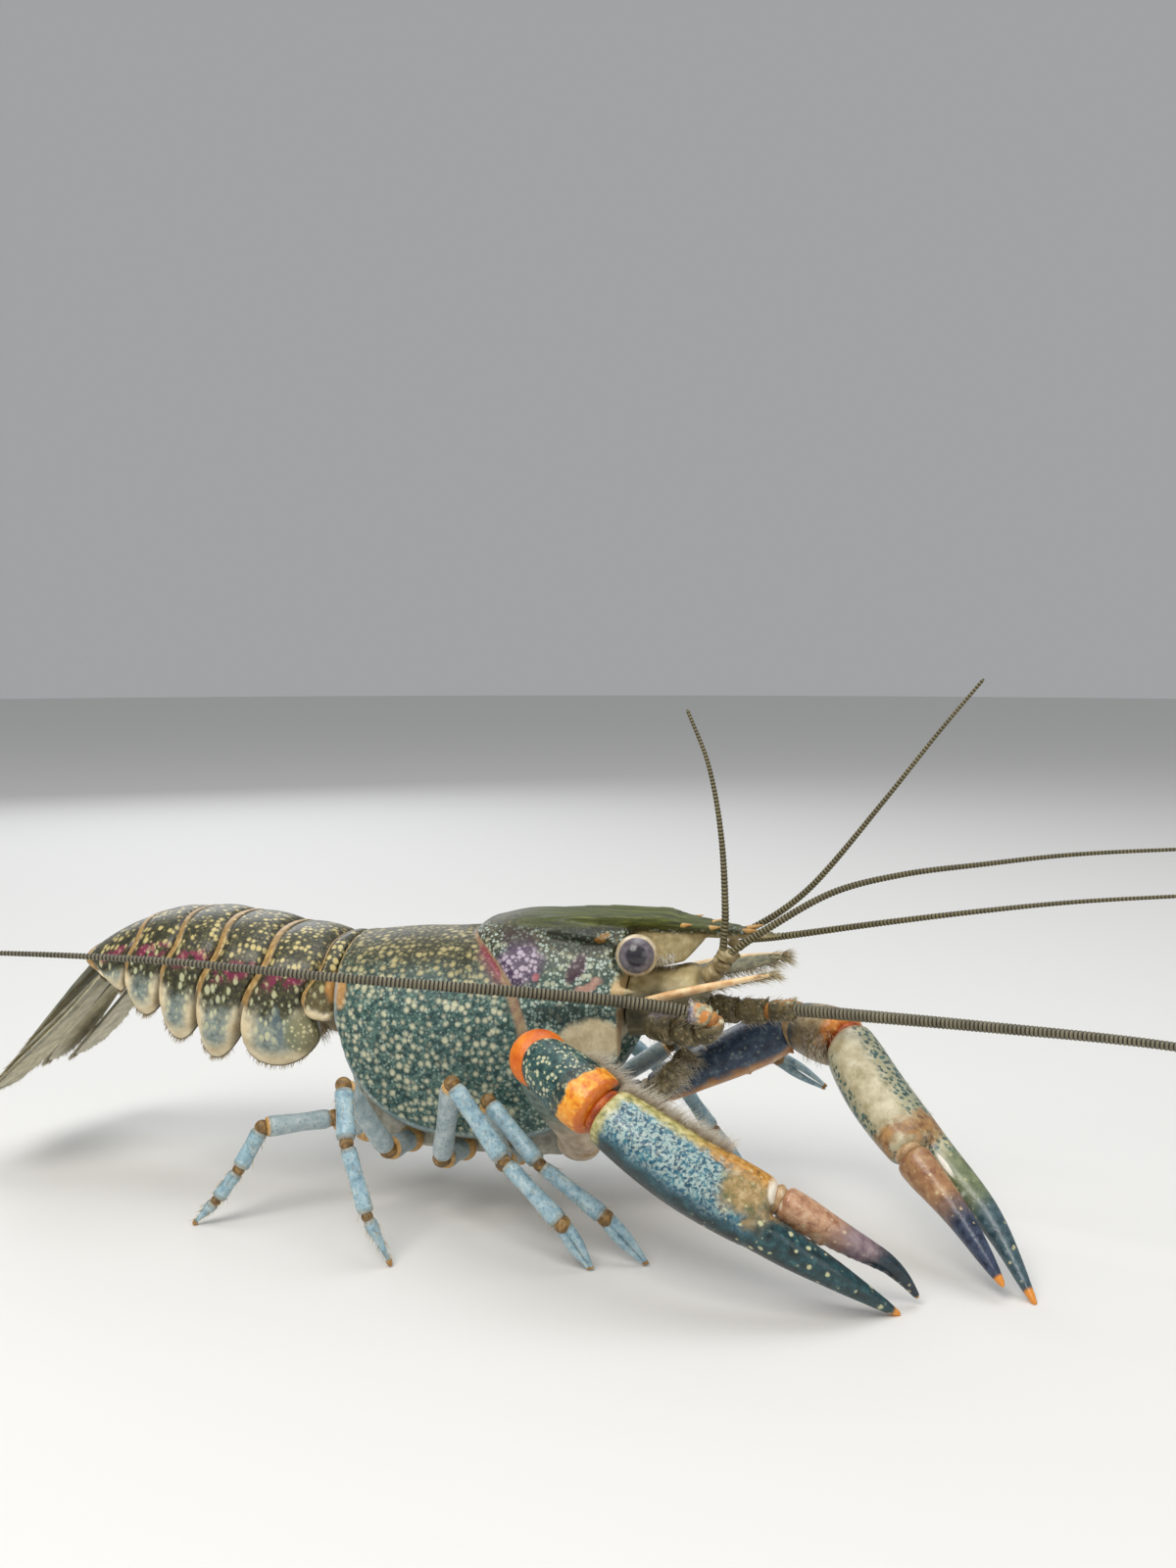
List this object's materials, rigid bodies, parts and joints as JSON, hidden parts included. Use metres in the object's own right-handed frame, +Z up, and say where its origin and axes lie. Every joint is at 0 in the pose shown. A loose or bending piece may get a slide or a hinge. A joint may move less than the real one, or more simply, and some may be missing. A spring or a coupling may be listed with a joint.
{
  "type": "cherax crayfish",
  "caption": "Freshwater crayfish standing with both claws reaching forward and down, long whip antennae, a spotted jointed shell and a fanned tail.",
  "frame": {"origin": "middle of the whole model's footprint, on the floor", "axes": "+X the way the animal faces, +Y to its left, +Z up from the floor"},
  "size_m": [0.2362, 0.0744, 0.0762],
  "materials": {
    "carapace": "semi-gloss wet shell, spotted",
    "sternum": "soft satin",
    "epistome": "satin, tinged brown-green",
    "abdomen": "semi-gloss shell with tan bands",
    "tail_fan": "thin translucent shell",
    "claw": "semi-gloss marbled shell",
    "leg": "semi-gloss pale blue shell",
    "antenna": "ringed, satin",
    "antennal_scale": "semi-gloss",
    "antennule": "satin",
    "eye": "polished, dark",
    "mouthpart": "matt, hairy"
  },
  "bodies": {
    "root": {"carapace": "carapace", "sternum": "sternum", "epistome": "epistome", "abdomen_1": "abdomen", "abdomen_2": "abdomen", "abdomen_3": "abdomen", "abdomen_4": "abdomen", "abdomen_5": "abdomen", "abdomen_6": "abdomen", "telson": "tail_fan", "uropod_r_inner": "tail_fan", "uropod_r_outer": "tail_fan", "leg_2_r_upper": "leg", "leg_2_r_lower": "leg", "leg_3_r_upper": "leg", "leg_3_r_lower": "leg", "leg_4_r_upper": "leg", "leg_4_r_lower": "leg", "leg_5_r_upper": "leg", "leg_5_r_lower": "leg", "cheliped_r_base": "claw", "cheliped_r_merus": "claw", "cheliped_r_carpus": "claw", "cheliped_r_propodus": "claw", "cheliped_r_dactyl": "claw", "antenna_peduncle_r": "antenna", "antenna_flagellum_r": "antenna", "antennal_scale_r": "antennal_scale", "antennule_r_base": "antennule", "antennule_r_outer": "antennule", "antennule_r_inner": "antennule", "eye_r": "eye", "maxilliped_r": "mouthpart", "uropod_l_inner": "tail_fan", "uropod_l_outer": "tail_fan", "leg_2_l_upper": "leg", "leg_2_l_lower": "leg", "leg_3_l_upper": "leg", "leg_3_l_lower": "leg", "leg_4_l_upper": "leg", "leg_4_l_lower": "leg", "leg_5_l_upper": "leg", "leg_5_l_lower": "leg", "cheliped_l_base": "claw", "cheliped_l_merus": "claw", "cheliped_l_carpus": "claw", "cheliped_l_propodus": "claw", "cheliped_l_dactyl": "claw", "antenna_peduncle_l": "antenna", "antenna_flagellum_l": "antenna", "antennal_scale_l": "antennal_scale", "antennule_l_base": "antennule", "antennule_l_outer": "antennule", "antennule_l_inner": "antennule", "eye_l": "eye", "maxilliped_l": "mouthpart"}
  },
  "joints": []
}
